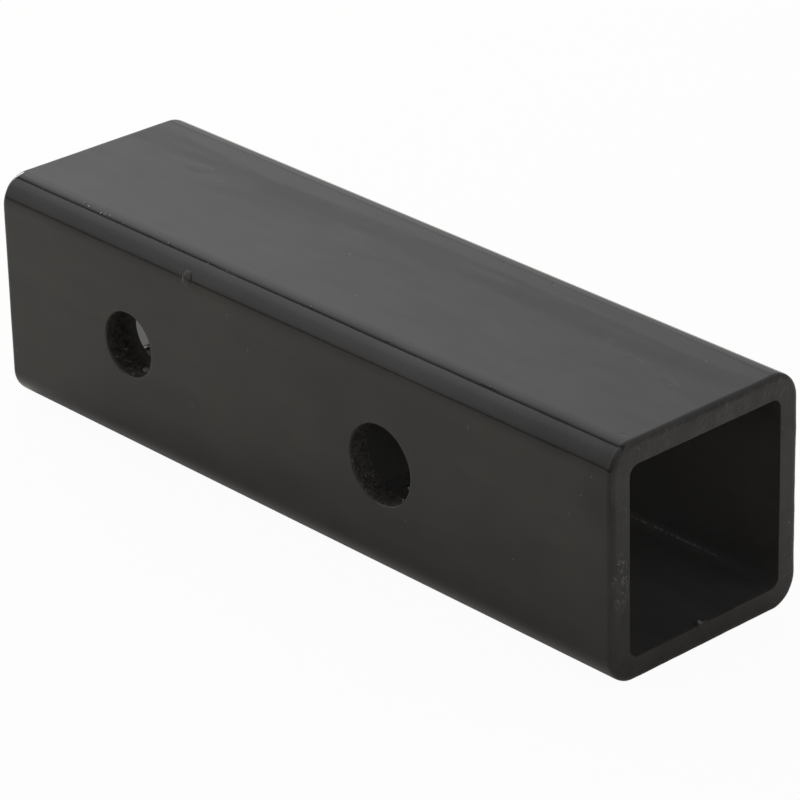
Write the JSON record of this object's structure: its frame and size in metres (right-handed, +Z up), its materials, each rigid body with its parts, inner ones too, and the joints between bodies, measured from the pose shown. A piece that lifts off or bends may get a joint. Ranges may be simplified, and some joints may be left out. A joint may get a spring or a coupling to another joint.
{
  "type": "hitch receiver adapter",
  "caption": "Square steel hitch receiver adapter: a tube with cross pin holes that slides into a large receiver, with a reducing sleeve in its socket end for a smaller shank.",
  "frame": {"origin": "middle of the flat underside, halfway along the tube", "axes": "+X along the tube towards the open shank end, +Z up; the cross holes run along Y"},
  "size_m": [0.18, 0.0508, 0.0508],
  "materials": {
    "tube_paint": "black satin paint on steel",
    "sleeve_paint": "thin black paint on steel"
  },
  "bodies": {
    "root": {"adapter_tube": "tube_paint", "reducer_sleeve": "sleeve_paint"}
  },
  "joints": []
}
